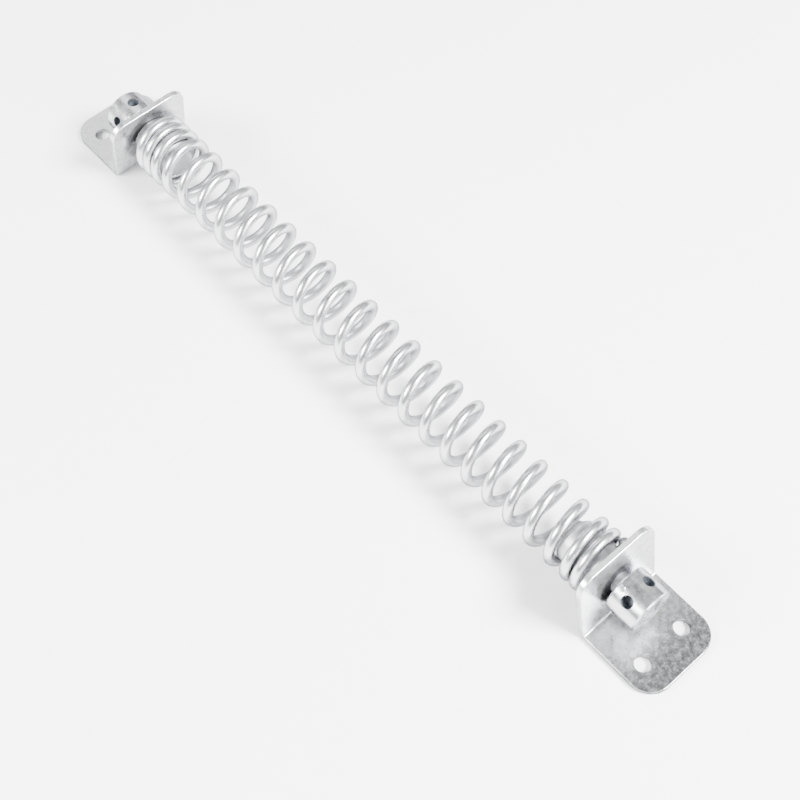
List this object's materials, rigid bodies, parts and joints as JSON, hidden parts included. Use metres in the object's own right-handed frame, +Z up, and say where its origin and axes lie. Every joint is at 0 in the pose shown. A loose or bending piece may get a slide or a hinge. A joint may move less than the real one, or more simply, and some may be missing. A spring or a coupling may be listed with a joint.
{
  "type": "gate spring closer",
  "caption": "Torsion spring closer for a gate: an open-coiled spring between two bent screw-on brackets, with winding collars that take a tommy bar.",
  "frame": {"origin": "under the middle of the spring, in the plane of the two mounting faces", "axes": "+X along the spring towards the lower bracket, +Z up out of the mounting faces, +Y across the brackets"},
  "size_m": [0.33, 0.0348, 0.0322],
  "materials": {
    "spring_wire": "bright zinc-plated round spring wire, soft gloss",
    "plated_sheet": "bright zinc-plated sheet with a mottled sheen",
    "turned_steel": "turned and zinc-plated bar",
    "pin_steel": "plain bright steel"
  },
  "bodies": {
    "lower_bracket": {"lower_bracket": "plated_sheet"},
    "lower_winder": {"lower_collar": "turned_steel", "lower_spindle": "turned_steel", "lower_plug": "turned_steel", "lower_cross_pin": "pin_steel", "spring": "spring_wire"},
    "upper_winder": {"upper_collar": "turned_steel", "upper_spindle": "turned_steel", "upper_plug": "turned_steel", "upper_cross_pin": "pin_steel"},
    "upper_bracket": {"upper_bracket": "plated_sheet"}
  },
  "joints": [
    {"name": "lower_winding", "type": "hinge", "parent": "lower_bracket", "child": "lower_winder", "pos_m": [0.1303, 0, 0.0167], "axis": [1, 0, 0], "continuous": true},
    {"name": "spring_twist", "type": "hinge", "parent": "lower_winder", "child": "upper_winder", "pos_m": [0, 0, 0.0167], "axis": [-1, 0, 0], "range_deg": [0, 170], "stiffness_Nm_per_rad": 1.7, "deforming": ["spring"]},
    {"name": "upper_winding", "type": "hinge", "parent": "upper_winder", "child": "upper_bracket", "pos_m": [-0.1303, 0, 0.0167], "axis": [-1, 0, 0], "continuous": true}
  ]
}
